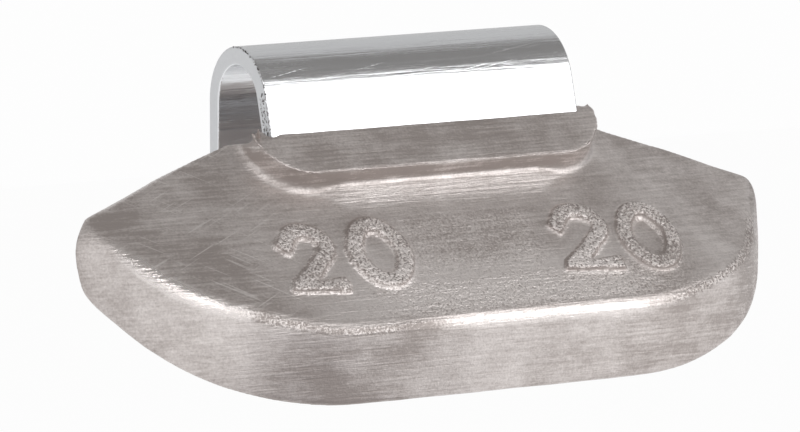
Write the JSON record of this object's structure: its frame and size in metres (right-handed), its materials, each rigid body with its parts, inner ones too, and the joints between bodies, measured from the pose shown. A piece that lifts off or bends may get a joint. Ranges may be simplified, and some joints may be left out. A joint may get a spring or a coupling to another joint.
{
  "type": "wheel balance weight",
  "caption": "Clip-on wheel balance weight: a sloping cast lead body with raised gram marks, held on a rim flange by a bent spring steel clip cast into its boss.",
  "frame": {"origin": "on the axis of the clip's arch, at the middle of the casting's length", "axes": "+X along the rim, which is the clip's width and the casting's length; +Z outwards from the hub, as on a weight at the top of the wheel; -Y away from the wheel, towards the marked face"},
  "size_m": [0.0404, 0.0134, 0.0183],
  "materials": {
    "lead": "satin cast lead with brushed streaks",
    "zinc_plated_steel": "bright zinc plate"
  },
  "bodies": {
    "root": {"weight_body": "lead", "rim_clip": "zinc_plated_steel"}
  },
  "joints": []
}
